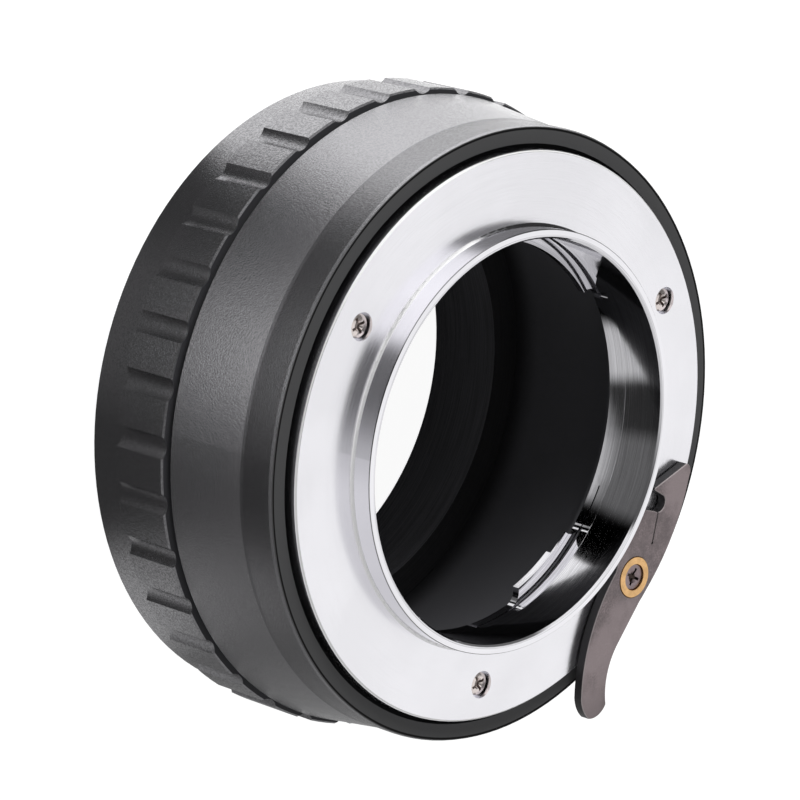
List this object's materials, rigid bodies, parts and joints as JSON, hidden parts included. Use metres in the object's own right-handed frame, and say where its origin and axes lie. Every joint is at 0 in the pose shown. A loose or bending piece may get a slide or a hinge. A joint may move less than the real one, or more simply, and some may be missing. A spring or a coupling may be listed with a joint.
{
  "type": "lens mount adapter",
  "caption": "Round black metal adapter with a chrome lens bayonet on top, a chrome camera bayonet below, a notched grip ring and a small sprung lock lever.",
  "frame": {"origin": "on the optical axis, in the plane of the face that seats on the camera", "axes": "+Z along the optical axis from the camera to the lens; the lock lever's pivot lies on the -X +Y side"},
  "size_m": [0.0666, 0.0666, 0.0352],
  "materials": {
    "satin_chrome": "fine turned satin chrome, brushed round the axis",
    "black_anodised": "fine blasted, black anodised",
    "matt_black": "matt black, fine anti-reflection grooves",
    "lever_steel": "warm grey, softly mottled",
    "brass": "turned",
    "blued_screw": "darkened steel",
    "screw_steel": "bright steel",
    "spring_steel": "drawn wire",
    "index_enamel": "enamel"
  },
  "bodies": {
    "adapter": {"lens_mount_plate": "satin_chrome", "front_barrel": "black_anodised", "rear_barrel": "black_anodised", "camera_mount_plate": "satin_chrome", "light_baffle": "matt_black", "lever_pivot_screw": "blued_screw", "lever_spring": "spring_steel", "lens_index_dot": "index_enamel", "camera_index_dot": "index_enamel", "lens_plate_screw_1": "screw_steel", "lens_plate_screw_2": "screw_steel", "lens_plate_screw_3": "screw_steel", "camera_plate_screw_1": "screw_steel", "camera_plate_screw_2": "screw_steel", "camera_plate_screw_3": "screw_steel", "camera_plate_screw_4": "screw_steel"},
    "lever": {"lock_lever": "lever_steel", "lever_bush": "brass"}
  },
  "joints": [
    {"name": "lever_pivot", "type": "hinge", "parent": "adapter", "child": "lever", "pos_m": [-0.02065, 0.01625, 0.02695], "axis": [0, 0, 1], "range_deg": [-8, 0], "stiffness_Nm_per_rad": 0.04, "springref_deg": 14.32}
  ]
}
